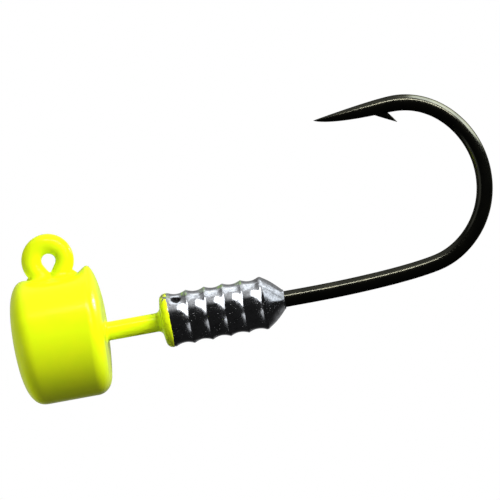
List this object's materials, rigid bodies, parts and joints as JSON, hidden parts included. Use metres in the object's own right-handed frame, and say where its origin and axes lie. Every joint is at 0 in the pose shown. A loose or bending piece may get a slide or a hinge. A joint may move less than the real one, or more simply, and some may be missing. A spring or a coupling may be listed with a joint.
{
  "type": "jig head",
  "caption": "Mushroom-style lead jig head: painted drum head with a domed nose and a line eye, thin neck, ringed bait keeper and a barbed, round-bend hook.",
  "frame": {"origin": "middle of the small flat on the nose, on the axis of the hook's shank", "axes": "+X along the shank from the nose to the hook's bend; +Z towards the line eye and the hook's point; the hook lies in the XZ plane"},
  "size_m": [0.0313, 0.008, 0.0151],
  "materials": {
    "black_nickel": "glossy black nickel plate on carbon steel wire",
    "cast_lead": "bright as-cast lead alloy, mottled",
    "chartreuse_paint": "glossy chartreuse powder paint"
  },
  "bodies": {
    "root": {"hook": "black_nickel", "head_casting": "cast_lead", "keeper_casting": "cast_lead", "head_coat": "chartreuse_paint", "eye_coat": "chartreuse_paint", "neck_coat": "chartreuse_paint", "keeper_coat": "chartreuse_paint"}
  },
  "joints": []
}
